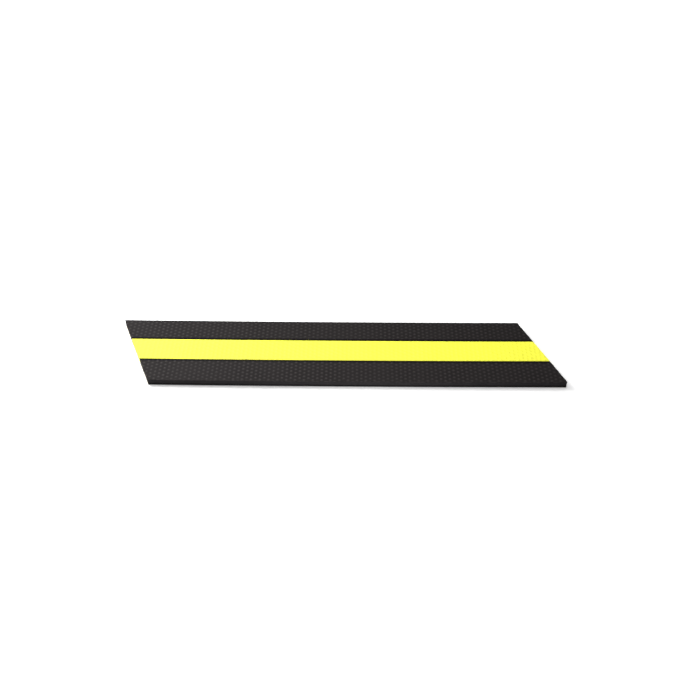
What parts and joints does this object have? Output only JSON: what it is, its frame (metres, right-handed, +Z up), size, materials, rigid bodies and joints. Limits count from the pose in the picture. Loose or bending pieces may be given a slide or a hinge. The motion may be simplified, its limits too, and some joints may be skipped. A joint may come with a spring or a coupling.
{
  "type": "foam parking stop strip",
  "caption": "Flat black and yellow striped foam floor strip with slanted ends, an embossed top and a self-adhesive underside, used as a parking stop.",
  "frame": {"origin": "middle of the footprint, on the floor plane under the release liner", "axes": "+X along the strip, towards the end whose tip is on the front edge; +Y towards the rear long edge; +Z up, out of the embossed top"},
  "size_m": [0.5, 0.1, 0.0085],
  "materials": {
    "black_foam": "matte embossed closed-cell foam",
    "yellow_foam": "matte embossed closed-cell foam",
    "seam_glue": "hot-melt glue",
    "tape_adhesive": "tacky adhesive coat",
    "carrier_film": "plain film",
    "liner_paper": "silicone-coated release paper"
  },
  "bodies": {
    "root": {"rear_black_strip": "black_foam", "centre_yellow_strip": "yellow_foam", "front_black_strip": "black_foam", "rear_seam_film": "seam_glue", "front_seam_film": "seam_glue", "foam_side_adhesive": "tape_adhesive", "tape_carrier": "carrier_film", "floor_side_adhesive": "tape_adhesive", "rear_liner": "liner_paper", "front_liner": "liner_paper"}
  },
  "joints": []
}
